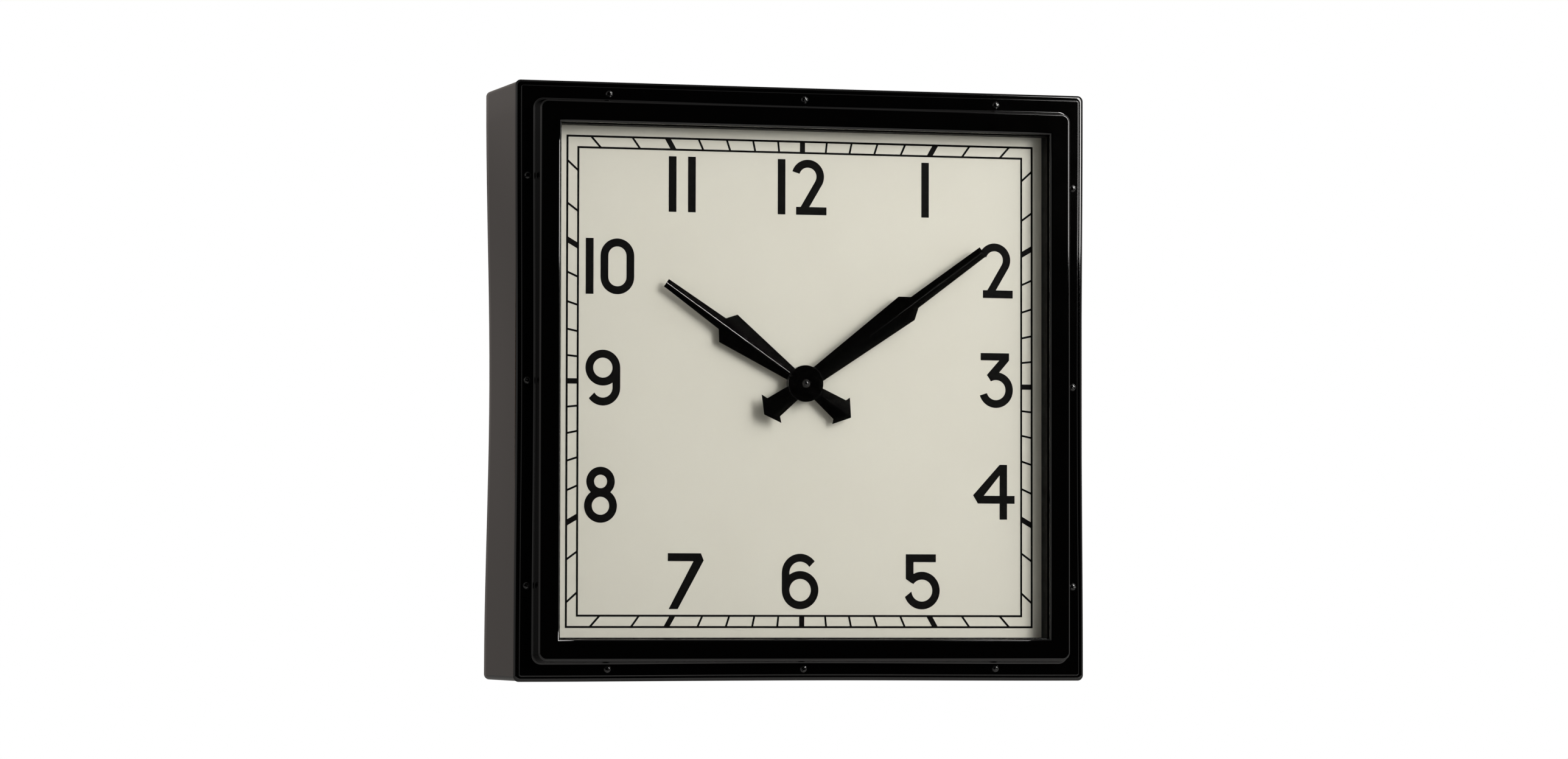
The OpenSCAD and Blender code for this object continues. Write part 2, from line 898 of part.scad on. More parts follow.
module movement_washer() {
    color(BRASS) plate(dial_front - 0.5, dial_front) difference() {
        circle(9);
        circle(bush_r + 0.2);
    }
}

module movement_nut() {
    color(BRASS) plate(dial_front - 2.7, dial_front - 0.5) difference() {
        circle(6.9, $fn = 6);
        circle(bush_r + 0.05);
    }
}

// Socket for the front pivot of an arbor, standing on the inside of the front wall
module boss(at, d, pivot) {
    difference() {
        move_rod(at, pivot + 0.9, move_wall - 0.2, d);
        move_rod(at, pivot + fit, d - 1.4, d + 1);
    }
}

module movement_housing() {
    color([0.12, 0.12, 0.12]) {
        difference() {
            union() {
                move_plate(0, cover_d) difference() {
                    square(2 * move_half, center = true);
                    square(2 * (move_half - move_wall), center = true);
                }
                move_plate(0, move_wall) square(2 * move_half, center = true);
                move_plate(0, cover_d) translate([-move_half, bay_top - bay_wall])
                    square([2 * move_half, bay_wall]);
                for (p = cover_posts) move_rod(p, 2, 0, cover_d);
                for (p = bridge_posts) move_rod(p, 1.5, 0, bridge_d);
                for (p = core_posts) move_rod(p, 1.1, 0, stator_d);
            }
            rod([0, 0], bush_r + 0.02, housing_y - 1, housing_y + move_wall + 1);
            for (p = cover_posts) move_rod(p, 0.85, cover_d - 6, cover_d + 1);
            for (p = bridge_posts) move_rod(p, 0.65, bridge_d - 4, bridge_d + 1);
            for (p = core_posts) move_rod(p, 0.55, stator_d - 3, stator_d + 1);
        }
        boss(third_at, third_d - 1.9, pivot_r);
        boss(second_at, second_d - 1.9, pivot_r);
        boss(intermediate_at, intermediate_d - 1.9, pivot_r);
        boss(rotor_at, magnet_d - 1.7, pivot_r);
        boss(knob_at, cannon_d - 0.1, 0.8);
        move_rod(motion_at, 0.6, move_wall - 0.2, motion_d + 0.9);
        move_rod(motion_at, 1.1, move_wall - 0.2, hour_d - 0.2);
    }
}

module movement_cover() {
    color([0.15, 0.15, 0.15]) move_plate(cover_d, move_depth) difference() {
        translate([-move_half, bay_top - bay_wall])
            square([2 * move_half, move_half - bay_top + bay_wall]);
        translate(knob_at) circle(1.5 + fit);
        for (p = cover_posts) translate(p) circle(1.1);
    }
}

module cover_screws() {
    color(STEEL) for (p = cover_posts)
        translate([p[0], housing_y + move_depth, p[1]]) rotate([0, 0, 180])
            slotted_screw(0, 1.7, 0.8, 6, 0.9, 60);
}

module gear_bridge() {
    pivots = [centre_at, third_at, second_at, intermediate_at, rotor_at];
    color(BRASS) move_plate(bridge_d, bridge_d + bridge_t) difference() {
        polygon([[-16.6, 3.4], [-12.4, 3.4], [-3, -3.5], [14, -10.2], [20.5, -10.2], [22, 18.5],
            [6, 26.4], [-1, 26.4], [-5, 17.3], [-16.6, 17.3]]);
        for (p = pivots) translate(p) circle(pivot_r + fit);
        for (p = bridge_posts) translate(p) circle(0.8);
    }
}

module bridge_screws() {
    color(STEEL) for (p = bridge_posts)
        translate([p[0], housing_y + bridge_d + bridge_t, p[1]]) rotate([0, 0, 180])
            slotted_screw(0, 1.2, 0.6, 4, 0.6, 15);
}

// Soft-iron plate around the rotor, with a leg to each end of the coil's core
module stator() {
    width = core_x[1] - core_x[0];
    leg = 3.4;
    color(STEEL) move_plate(stator_d, stator_d + stator_t) difference() {
        translate([core_x[0], 10.2]) square([width, 13.7]);
        translate([core_x[0] + leg, 15.8]) square([width - 2 * leg - 0.8, 10]);
        translate(rotor_at) circle(2.1);
        for (p = core_posts) translate(p) circle(0.6);
    }
}

module coil_core() {
    top = stator_d + stator_t;
    color(STEEL) move_plate(top, top + 0.8) difference() {
        translate([core_x[0], coil_z - 1.6]) square([core_x[1] - core_x[0], 3.2]);
        for (p = core_posts) translate(p) circle(0.6);
    }
}

module core_screws() {
    color(STEEL) for (p = core_posts)
        translate([p[0], housing_y + stator_d + stator_t + 0.8, p[1]]) rotate([0, 0, 180])
            slotted_screw(0, 1.0, 0.5, 3.6, 0.5, 70);
}

// Spool along X around the core; the winding lies between its cheeks
module coil_ring(x0, x1, r, hole) {
    y = housing_y + stator_d + stator_t + 0.4;
    translate([x0, y, coil_z]) rotate([0, 90, 0]) difference() {
        cylinder(r = r, h = x1 - x0);
        translate([0, 0, -1]) linear_extrude(x1 - x0 + 2) hole_outline(hole);
    }
}

module hole_outline(r) {
    if (r > 0) circle(r);
    else square([3.4, 1.0], center = true);
}

module coil_bobbin() {
    color([0.85, 0.85, 0.80]) {
        coil_ring(coil_x[0], coil_x[0] + 0.5, 2.1, 0);
        coil_ring(coil_x[0] + 0.5, coil_x[1] - 0.5, 1.8, 0);
        coil_ring(coil_x[1] - 0.5, coil_x[1], 2.1, 0);
    }
}

module coil_winding() {
    color([0.72, 0.36, 0.16]) coil_ring(coil_x[0] + 0.55, coil_x[1] - 0.55, 2.05, 1.82);
}

module circuit_board() {
    color([0.10, 0.32, 0.16]) move_plate(9.5, 10.3) translate([-26.4, -5.6]) square([9.8, 13.6]);
}

module quartz_crystal() {
    color(STEEL) translate([-25, housing_y + 11.4, 6]) rotate([0, 90, 0])
        cylinder(r = 1.0, h = 6.2);
}

module clock_chip() {
    color(BLACK) translate([-21, housing_y + 10.3, 0.5]) rotate([-90, 0, 0]) dome(2.4, 1.1);
}

// Knob on the rear for setting the hands; its pinion meshes with the motion wheel
module setting_knob() {
    color([0.9, 0.9, 0.9]) {
        move_plate(cannon_d, cannon_d + 1.3) translate(knob_at)
            gear(m_motion, knob_teeth, knob_phase);
        move_rod(knob_at, 1.5, cannon_d + 1.3, move_depth + 0.4);
        move_rod(knob_at, 0.8, cannon_d - 1.4, cannon_d + 1.3);
        move_plate(move_depth + 0.4, move_depth + 4.4) translate(knob_at) difference() {
            circle(4.6);
            for (a = [0:18:342]) rotate(a) translate([4.85, 0]) circle(0.45);
        }
    }
}

// ---- Battery ----

module battery() {
    r = cell_d / 2;
    nub = 1;
    can = cell_len - nub;
    color([0.80, 0.80, 0.82])
        translate([-24.9, housing_y + cell_depth, cell_z]) rotate([0, 90, 0]) rotate_extrude() {
            translate([0, 0.4]) square([r, can - 0.8]);
            square([r - 0.5, can]);
            square([2.75, cell_len]);
        }
}

module positive_contact() {
    x = -24.9 + cell_len + 0.05;
    color(BRASS) {
        translate([x, housing_y + 2, cell_z - 5]) cube([0.4, 12.5, 10]);
        translate([x, housing_y + 13, cell_z - 3]) cube([move_half - move_wall - x, 0.4, 6]);
    }
}

module negative_contact() {
    x = -move_half + move_wall;
    color(STEEL) {
        translate([x, housing_y + 2, cell_z - 5]) cube([0.3, 12.5, 10]);
        translate([x, housing_y + 14.2, cell_z - 3]) cube([1.85, 0.3, 6]);
        translate([x + 1.55, housing_y + 5, cell_z - 3]) cube([0.3, 9.5, 6]);
    }
}

case_shell();
back_panel();
back_panel_screws();
hanger_plate();
hanger_rivets();
bezel();
bezel_gasket();
bezel_screws();
bezel_seal();
glass();
spacer_frame();
dial();
dial_numerals();
minute_track();
dial_board();
dial_brackets();
dial_bracket_screws();
hour_hand();
hour_collet();
minute_hand();
minute_collet();
hand_cap_nut();
movement_gasket();
movement_bush();
movement_washer();
movement_nut();
movement_housing();
movement_cover();
cover_screws();
gear_bridge();
bridge_screws();
hour_wheel();
motion_wheel();
cannon_pinion();
centre_wheel();
friction_spring();
third_wheel();
second_wheel();
intermediate_wheel();
rotor_pinion();
rotor_magnet();
stator();
coil_core();
coil_bobbin();
coil_winding();
core_screws();
circuit_board();
quartz_crystal();
clock_chip();
setting_knob();
battery();
positive_contact();
negative_contact();
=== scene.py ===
"""Square schoolhouse wall clock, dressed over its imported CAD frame. Metres, dial facing -Y."""
import json
from math import acos, asin, cos, pi, radians, sin

import bmesh
import bpy
from mathutils import Matrix, Vector


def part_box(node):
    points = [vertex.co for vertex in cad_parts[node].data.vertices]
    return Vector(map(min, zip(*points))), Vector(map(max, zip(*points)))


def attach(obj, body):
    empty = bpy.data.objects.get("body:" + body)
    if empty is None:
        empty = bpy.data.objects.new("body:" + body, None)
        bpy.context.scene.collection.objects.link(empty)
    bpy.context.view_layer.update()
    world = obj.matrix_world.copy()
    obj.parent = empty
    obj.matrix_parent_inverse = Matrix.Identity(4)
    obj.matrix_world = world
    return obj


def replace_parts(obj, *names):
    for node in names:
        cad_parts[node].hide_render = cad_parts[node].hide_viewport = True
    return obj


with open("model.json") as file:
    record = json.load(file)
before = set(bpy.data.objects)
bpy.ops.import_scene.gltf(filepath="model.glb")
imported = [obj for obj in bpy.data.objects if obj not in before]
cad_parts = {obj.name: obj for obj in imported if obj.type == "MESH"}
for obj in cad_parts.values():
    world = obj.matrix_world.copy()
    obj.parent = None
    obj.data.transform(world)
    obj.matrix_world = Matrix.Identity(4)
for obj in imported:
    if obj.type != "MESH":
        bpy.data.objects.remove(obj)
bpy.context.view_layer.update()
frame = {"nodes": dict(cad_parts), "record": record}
MM = 0.001

# ---------------------------------------------------------------- mesh helpers


def new_object(name, mesh, material, body, smooth=30):
    """Puts a mesh in the scene as a named piece that rides on a body."""
    for face in mesh.polygons:
        face.use_smooth = True
    mesh.set_sharp_from_angle(angle=radians(smooth))
    mesh.materials.append(material)
    obj = bpy.data.objects.new(name, mesh)
    bpy.context.scene.collection.objects.link(obj)
    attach(obj, body)
    return obj


def mesh_from(bm, name):
    """Welds a bmesh, turns its faces outward and frees it into a named mesh."""
    bmesh.ops.remove_doubles(bm, verts=bm.verts, dist=2e-7)
    bmesh.ops.recalc_face_normals(bm, faces=bm.faces)
    mesh = bpy.data.meshes.new(name)
    bm.to_mesh(mesh)
    bm.free()
    return mesh


CORNER = 14  # segments on a ring's rounded corner
SIDE = 20  # segments along each of its sides


def ring(half, r, y, bow=(0, 0, 0, 0)):
    """A rounded square in a plane of constant Y. bow draws each side's middle inward: top,
    left, bottom, right. Numbers are millimetres."""
    points = []
    c = half - r
    for k in range(4):
        sx = (1, -1, -1, 1)[k]
        sz = (1, 1, -1, -1)[k]
        for i in range(CORNER + 1):
            a = radians(90 * k + 90 * i / CORNER)
            points.append(Vector((sx * c + r * cos(a), y, sz * c + r * sin(a))))
        start = points[-1].copy()
        along = Vector(((-1, 0, 0), (0, 0, -1), (1, 0, 0), (0, 0, 1))[k])
        inward = Vector(((0, 0, -1), (1, 0, 0), (0, 0, 1), (-1, 0, 0))[k])
        for j in range(1, SIDE):
            t = j / SIDE
            points.append(start + along * 2 * c * t + inward * bow[k] * sin(pi * t) ** 2)
    return points


def skin(loops):
    """Joins rings of equal length into one closed tube, the last ring back to the first."""
    bm = bmesh.new()
    rows = [[bm.verts.new(p * MM) for p in loop] for loop in loops]
    for low, high in zip(rows, rows[1:] + rows[:1]):
        n = len(low)
        for i in range(n):
            j = (i + 1) % n
            bm.faces.new((low[i], low[j], high[j], high[i]))
    return bm


def arc(centre, r, start, end, steps, r2=None):
    """Points (out, height) on an arc; angles run from the height axis towards out. With r2 it
    is a quarter of an ellipse, r2 high."""
    r2 = r if r2 is None else r2
    out = []
    for i in range(steps + 1):
        a = radians(start + (end - start) * i / steps)
        out.append((centre[0] + r * sin(a), centre[1] + r2 * cos(a)))
    return out


def lathe(profile, steps=64):
    """A closed turned solid from (radius, height) points that start and end on the axis."""
    bm = bmesh.new()
    rows = []
    for radius, height in profile:
        rows.append([bm.verts.new((radius * cos(2 * pi * i / steps) * MM,
                                   radius * sin(2 * pi * i / steps) * MM, height * MM))
                     for i in range(steps)])
    for low, high in zip(rows, rows[1:]):
        for i in range(steps):
            j = (i + 1) % steps
            bm.faces.new((low[i], low[j], high[j], high[i]))
    bmesh.ops.remove_doubles(bm, verts=bm.verts, dist=1e-7)
    return bm


def outline_solid(name, loops, y_front, y_back, edge):
    """A flat sheet with holes: loops are lists of (x, z) in millimetres."""
    curve = bpy.data.curves.new(name, "CURVE")
    curve.dimensions = "2D"
    curve.fill_mode = "BOTH"
    curve.extrude = ((y_back - y_front) / 2 - edge) * MM
    curve.bevel_depth = edge * MM
    curve.bevel_resolution = 2
    curve.offset = -edge * MM
    for loop in loops:
        spline = curve.splines.new("POLY")
        spline.points.add(len(loop) - 1)
        for point, (x, z) in zip(spline.points, loop):
            point.co = (x * MM, z * MM, 0, 1)
        spline.use_cyclic_u = True
    holder = bpy.data.objects.new(name + "_curve", curve)
    bpy.context.scene.collection.objects.link(holder)
    bpy.context.view_layer.update()
    mesh = bpy.data.meshes.new_from_object(
        holder.evaluated_get(bpy.context.evaluated_depsgraph_get()))
    bpy.data.objects.remove(holder)
    bpy.data.curves.remove(curve)
    middle = (y_front + y_back) / 2 * MM
    for v in mesh.vertices:
        x, z, d = v.co
        v.co = (x, middle - d, z)
    mesh.name = name
    mesh.materials.clear()
    return mesh


# ---------------------------------------------------------------- material helpers


class Paint:
    """A small wrapper that builds a node material around one Principled shader."""

    def __init__(self, name, color, roughness, metallic=0.0, **extra):
        self.material = bpy.data.materials.new(name)
        self.material.use_nodes = True
        self.tree = self.material.node_tree
        self.nodes = self.tree.nodes
        self.shader = self.nodes["Principled BSDF"]
        self.shader.inputs["Base Color"].default_value = (*color, 1)
        self.shader.inputs["Roughness"].default_value = roughness
        self.shader.inputs["Metallic"].default_value = metallic
        for key, value in extra.items():
            self.shader.inputs[key.replace("_", " ").title().replace("Ior", "IOR")
                               ].default_value = value
        self.color = color
        self.normal = None
        self.coords = self.nodes.new("ShaderNodeTexCoord").outputs["Object"]

    def link(self, a, b):
        self.tree.links.new(a, b)

    def axis(self, letter):
        """The object coordinate along one axis."""
        split = self.nodes.new("ShaderNodeSeparateXYZ")
        self.link(self.coords, split.inputs["Vector"])
        return split.outputs[letter]

    def steps(self, value, stops):
        """A ramp of flat steps; stops are (place, colour) and the first place is 0."""
        ramp = self.nodes.new("ShaderNodeValToRGB")
        elements = ramp.color_ramp.elements
        ramp.color_ramp.interpolation = "CONSTANT"
        elements.remove(elements[-1])
        elements[0].color = (*stops[0][1], 1)
        for place, tone in stops[1:]:
            elements.new(place).color = (*tone, 1)
        self.link(value, ramp.inputs["Fac"])
        return ramp.outputs["Color"]

    def stretch(self, scale):
        """Object coordinates scaled per axis."""
        m = self.nodes.new("ShaderNodeMapping")
        m.inputs["Scale"].default_value = scale
        self.link(self.coords, m.inputs["Vector"])
        return m.outputs["Vector"]

    def noise(self, scale, detail=3.0, rough=0.5, vector=None, warp=0.0):
        n = self.nodes.new("ShaderNodeTexNoise")
        n.inputs["Scale"].default_value = scale
        n.inputs["Detail"].default_value = detail
        n.inputs["Roughness"].default_value = rough
        n.inputs["Distortion"].default_value = warp
        self.link(vector or self.coords, n.inputs["Vector"])
        return n.outputs["Fac"]

    def spread(self, value, low, high, a, b):
        """Maps a value from low..high to a..b."""
        m = self.nodes.new("ShaderNodeMapRange")
        m.inputs["From Min"].default_value = low
        m.inputs["From Max"].default_value = high
        m.inputs["To Min"].default_value = a
        m.inputs["To Max"].default_value = b
        self.link(value, m.inputs["Value"])
        return m.outputs["Result"]

    def tint(self, value, other, current=None):
        """Blends the base colour towards another by a 0..1 value."""
        mix = self.nodes.new("ShaderNodeMix")
        mix.data_type = "RGBA"
        self.link(value, mix.inputs["Factor"])
        if current is None:
            mix.inputs[6].default_value = (*self.color, 1)
        else:
            self.link(current, mix.inputs[6])
        mix.inputs[7].default_value = (*other, 1)
        self.link(mix.outputs[2], self.shader.inputs["Base Color"])
        return mix.outputs[2]

    def rough_by(self, value, a, b, low=0.35, high=0.65):
        """Lets the roughness wander between a and b with a noise value."""
        self.link(self.spread(value, low, high, a, b), self.shader.inputs["Roughness"])

    def bump(self, value, distance, strength=1.0):
        """Adds relief on top of any relief that is already there; distance is in metres."""
        b = self.nodes.new("ShaderNodeBump")
        b.inputs["Strength"].default_value = strength
        b.inputs["Distance"].default_value = distance
        self.link(value, b.inputs["Height"])
        if self.normal is not None:
            self.link(self.normal, b.inputs["Normal"])
        self.normal = b.outputs["Normal"]
        self.link(self.normal, self.shader.inputs["Normal"])


def enamel(name, color, roughness, peel, wave, dust, coat=0.0, seam=None):
    """Gloss black stoving enamel: orange peel, slow waviness of the sheet and faint dust. seam is
    the pair of Y values between which the colour fades to a dull brown and the gloss drops."""
    p = Paint(name, color, roughness, coat_weight=coat, coat_roughness=0.035)
    p.bump(p.noise(9, 1.5, 0.4), wave)
    p.bump(p.noise(420, 2, 0.4), peel)
    p.rough_by(p.noise(34, 4, 0.6), roughness * 0.85, roughness * 1.25)
    specks = p.spread(p.noise(2600, 1, 0.5), 0.76, 0.80, 0, 1)
    c = p.tint(p.spread(specks, 0, 1, 0, dust), (0.30, 0.28, 0.25))
    if seam:
        thin = p.spread(p.axis("Y"), seam[0], seam[1], 0, 1)
        p.tint(thin, (0.030, 0.011, 0.008), c)
        p.link(p.spread(thin, 0, 1, 0.5, 0.10), p.shader.inputs["Specular IOR Level"])
    return p.material


def metal(name, color, roughness, grain=(1, 1, 1), marks=0.1):
    """Bare or plated metal with drawn grain and handling marks."""
    p = Paint(name, color, roughness, 1.0)
    lines = p.noise(900, 4, 0.65, p.stretch(grain))
    blot = p.noise(110, 4, 0.6)
    p.rough_by(blot, roughness * 0.75, roughness * 1.45)
    p.bump(lines, 4e-6, 0.6)
    p.tint(p.spread(blot, 0.45, 0.75, 0, marks * 3), tuple(c * 0.62 for c in color))
    return p.material


def plastic(name, color, roughness, grain, shade=0.8, subsurface=0.0):
    """Moulded plastic with a fine spark-eroded grain and slight flow shading."""
    p = Paint(name, color, roughness)
    if subsurface:
        p.shader.inputs["Subsurface Weight"].default_value = subsurface
        p.shader.inputs["Subsurface Radius"].default_value = (0.6, 0.55, 0.45)
        p.shader.inputs["Subsurface Scale"].default_value = 0.0006
    flow = p.noise(70, 3, 0.5)
    p.bump(p.noise(1500, 3, 0.6), grain)
    p.rough_by(flow, roughness * 0.85, roughness * 1.2)
    p.tint(p.spread(flow, 0.4, 0.7, 0, 0.5), tuple(c * shade for c in color))
    return p.material


M = {}
M["bezel_enamel"] = enamel("bezel_gloss_black", (0.0010, 0.0009, 0.0009), 0.05,
                           peel=2.2e-6, wave=2.2e-4, dust=0.04, coat=1.0)
M["case_enamel"] = enamel("case_gloss_black", (0.0035, 0.0030, 0.0027), 0.09,
                          peel=3.0e-6, wave=1.5e-4, dust=0.06, seam=(-0.0845, -0.0868))
M["panel_enamel"] = enamel("panel_satin_black", (0.012, 0.0115, 0.011), 0.34,
                           peel=1.0e-5, wave=1.5e-4, dust=0.10)
M["screw_black"] = enamel("screw_black_enamel", (0.0015, 0.0015, 0.0015), 0.06,
                          peel=3.0e-6, wave=2e-5, dust=0.03, coat=1.0)
M["hand_enamel"] = enamel("hand_black_enamel", (0.0012, 0.0011, 0.0010), 0.045,
                          peel=1.2e-6, wave=1e-5, dust=0.02, coat=1.0)
M["cap_black"] = enamel("cap_black_enamel", (0.002, 0.002, 0.002), 0.05,
                        peel=2.0e-6, wave=1e-5, dust=0.02, coat=1.0)

M["zinc_steel"] = metal("zinc_plated_steel", (0.60, 0.61, 0.60), 0.34, (1, 1, 8))
M["spring_steel"] = metal("spring_steel", (0.52, 0.52, 0.53), 0.25)
M["nickel_strip"] = metal("nickel_plated_strip", (0.66, 0.63, 0.58), 0.22, (1, 9, 1))
M["soft_iron"] = metal("soft_iron", (0.42, 0.42, 0.43), 0.38, (9, 1, 1))
M["can_silver"] = metal("crystal_can", (0.70, 0.70, 0.72), 0.20, (9, 1, 1))
M["brass"] = metal("brass_turned", (0.72, 0.52, 0.24), 0.24, (1, 8, 1), 0.14)
M["ferrite"] = plastic("ferrite_magnet", (0.035, 0.035, 0.038), 0.5, 1e-5)
M["housing_plastic"] = plastic("housing_black_abs", (0.017, 0.017, 0.018), 0.42, 6e-6)
M["chip_epoxy"] = plastic("chip_black_epoxy", (0.010, 0.010, 0.011), 0.28, 2e-6)
M["knob_white"] = plastic("knob_white_pom", (0.70, 0.69, 0.65), 0.38, 4e-6, 0.9, 0.25)
M["gear_nylon"] = plastic("gear_nylon", (0.74, 0.72, 0.63), 0.36, 3e-6, 0.9, 0.25)


def make_seal():
    """Matt black rubber with a fine skin."""
    p = Paint("seal_rubber", (0.012, 0.012, 0.012), 0.62)
    p.bump(p.noise(900, 4, 0.7), 2e-5)
    p.tint(p.spread(p.noise(60, 3), 0.45, 0.7, 0, 0.6), (0.022, 0.020, 0.018))
    return p.material


def make_cork():
    """Brown cork composition: packed grains with dark specks."""
    p = Paint("cork_gasket", (0.085, 0.045, 0.028), 0.85)
    grains = p.nodes.new("ShaderNodeTexVoronoi")
    grains.inputs["Scale"].default_value = 900
    p.link(p.coords, grains.inputs["Vector"])
    c = p.tint(p.spread(grains.outputs["Distance"], 0.1, 0.7, 0, 1), (0.20, 0.12, 0.075))
    p.tint(p.spread(p.noise(700, 2), 0.58, 0.64, 0, 0.8), (0.02, 0.012, 0.008), c)
    p.bump(grains.outputs["Distance"], 6e-5)
    return p.material


def make_glass():
    """Clear float glass; shadow rays pass straight through so the dial is lit."""
    p = Paint("clear_glass", (0.992, 0.992, 0.990), 0.0, **{"Transmission Weight": 1.0, "ior": 1.5})
    lamp = p.nodes.new("ShaderNodeLightPath")
    clear = p.nodes.new("ShaderNodeBsdfTransparent")
    clear.inputs["Color"].default_value = (0.965, 0.965, 0.962, 1)
    mix = p.nodes.new("ShaderNodeMixShader")
    p.link(lamp.outputs["Is Shadow Ray"], mix.inputs["Fac"])
    p.link(p.shader.outputs["BSDF"], mix.inputs[1])
    p.link(clear.outputs["BSDF"], mix.inputs[2])
    p.link(mix.outputs["Shader"], p.nodes["Material Output"].inputs["Surface"])
    smear = p.noise(30, 4, 0.6)
    p.link(p.spread(smear, 0.45, 0.85, 0.0, 0.03), p.shader.inputs["Roughness"])
    return p.material


def make_dial_paint():
    """Cream lacquer on sheet: very slight mottling, fine tooth and a few specks."""
    p = Paint("dial_cream_lacquer", (0.80, 0.785, 0.685), 0.46)
    c = p.tint(p.spread(p.noise(16, 4, 0.6), 0.40, 0.66, 0, 0.55), (0.775, 0.755, 0.655))
    c = p.tint(p.spread(p.noise(240, 3, 0.6), 0.50, 0.75, 0, 0.35), (0.765, 0.745, 0.650), c)
    p.tint(p.spread(p.noise(1900, 1), 0.77, 0.80, 0, 0.35), (0.42, 0.38, 0.30), c)
    p.rough_by(p.noise(120, 3), 0.42, 0.52)
    p.bump(p.noise(800, 3, 0.6), 4e-6)
    return p.material


def make_ink():
    """Dull black screen ink, a little thin in places."""
    p = Paint("dial_black_ink", (0.0018, 0.0016, 0.0014), 0.5, specular_ior_level=0.06)
    p.tint(p.spread(p.noise(500, 4, 0.7), 0.5, 0.75, 0, 0.5), (0.006, 0.0055, 0.005))
    p.rough_by(p.noise(160, 3), 0.44, 0.56)
    p.bump(p.noise(1400, 2), 2e-6)
    return p.material


def make_spacer():
    """Matt near-black paint inside the window."""
    p = Paint("spacer_dark_paint", (0.0050, 0.0045, 0.0040), 0.62, specular_ior_level=0.18)
    p.tint(p.spread(p.noise(45, 4, 0.6), 0.42, 0.7, 0, 0.6), (0.009, 0.008, 0.007))
    p.rough_by(p.noise(90, 3), 0.56, 0.70)
    p.bump(p.noise(500, 3), 8e-6)
    return p.material


def make_hardboard():
    """Pressed brown fibre board."""
    p = Paint("hardboard", (0.155, 0.088, 0.046), 0.78)
    fibres = p.noise(260, 6, 0.72, p.stretch((1, 1, 3)), 1.5)
    c = p.tint(p.spread(fibres, 0.35, 0.7, 0, 0.9), (0.235, 0.145, 0.082))
    p.tint(p.spread(p.noise(1300, 2), 0.62, 0.68, 0, 0.6), (0.06, 0.033, 0.018), c)
    p.bump(fibres, 5e-5)
    return p.material


def make_copper():
    """Enamelled copper wire: fine turns around the X axis."""
    p = Paint("copper_winding", (0.62, 0.20, 0.065), 0.26, 1.0)
    turns = p.nodes.new("ShaderNodeTexWave")
    turns.bands_direction = "X"
    turns.inputs["Scale"].default_value = 1600
    turns.inputs["Distortion"].default_value = 0.6
    p.link(p.coords, turns.inputs["Vector"])
    p.tint(p.spread(turns.outputs["Fac"], 0, 1, 0, 0.7), (0.30, 0.075, 0.02))
    p.bump(turns.outputs["Fac"], 3e-5)
    return p.material


def make_board():
    """Green solder mask over a pattern of tracks."""
    p = Paint("board_green_mask", (0.010, 0.085, 0.032), 0.24)
    tracks = p.nodes.new("ShaderNodeTexBrick")
    tracks.inputs["Scale"].default_value = 420
    tracks.inputs["Mortar Size"].default_value = 0.08
    tracks.inputs["Color1"].default_value = (1, 1, 1, 1)
    tracks.inputs["Color2"].default_value = (1, 1, 1, 1)
    tracks.inputs["Mortar"].default_value = (0, 0, 0, 1)
    p.link(p.stretch((1, 1, 0.4)), tracks.inputs["Vector"])
    p.tint(p.spread(tracks.outputs["Fac"], 0, 1, 0, 0.65), (0.03, 0.16, 0.05))
    p.bump(tracks.outputs["Fac"], 1.5e-5)
    return p.material


def make_cell():
    """AA cell: printed sleeve in two plain colours, bare nickel at both ends."""
    nickel = (0.66, 0.66, 0.67)
    sleeve = (0.012, 0.013, 0.016)
    copper = (0.42, 0.16, 0.035)
    metal_on = (1, 1, 1)
    metal_off = (0, 0, 0)
    low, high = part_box("battery")
    millimetre = MM / (high[0] - low[0])
    sleeve_from = 0.8 * millimetre
    copper_from = 0.70
    sleeve_to = 1 - 2.0 * millimetre
    p = Paint("cell_sleeve", sleeve, 0.30)
    along = p.spread(p.axis("X"), low[0], high[0], 0, 1)
    colour = p.steps(along, [(0, nickel), (sleeve_from, sleeve), (copper_from, copper),
                             (sleeve_to, nickel)])
    bare = p.steps(along, [(0, metal_on), (sleeve_from, metal_off), (sleeve_to, metal_on)])
    p.link(colour, p.shader.inputs["Base Color"])
    p.link(bare, p.shader.inputs["Metallic"])
    p.rough_by(p.noise(200, 3), 0.24, 0.36)
    p.bump(p.noise(500, 3), 4e-6)
    return p.material


M["seal_rubber"] = make_seal()
M["cork_gasket"] = make_cork()
M["clear_glass"] = make_glass()
M["dial_paint"] = make_dial_paint()
M["dial_ink"] = make_ink()
M["spacer_dark"] = make_spacer()
M["hardboard"] = make_hardboard()
M["copper_wire"] = make_copper()
M["board_green"] = make_board()
M["cell_wrap"] = make_cell()

for part in frame["record"]["subparts"]:
    obj = frame["nodes"][part["node"]]
    obj.data.materials.clear()
    obj.data.materials.append(M[part["material_slot"]])

# ---------------------------------------------------------------- bezel

FLANGE_Y = -91.0  # front face of the flange
FRAME_HEIGHT = 12.5  # of the raised frame over the flange
BEZEL_HALF = 210.0
FRONT_BOW = (0.15, 0.95, 0.6, 0.95)  # how far the flange's edges draw in: top, left, bottom, right


def rings(points, radius_of, bow_of=None):
    """Rings from (half, height above the flange) points."""
    loops = []
    for i, (half, height) in enumerate(points):
        bow = bow_of(i) if bow_of else 0
        bows = bow if isinstance(bow, tuple) else (bow,) * 4
        loops.append(ring(half, radius_of(half), FLANGE_Y - height, bows))
    return loops


def lip_profile():
    """Rolled lip round the window, from the glass up to the flat top of the frame."""
    r = 2.0
    depth = 1.5
    centre = 182
    steps = 9
    end = acos(1 - depth / r) * 180 / pi
    return arc((centre, FRAME_HEIGHT - r), r, -end, 0, steps)


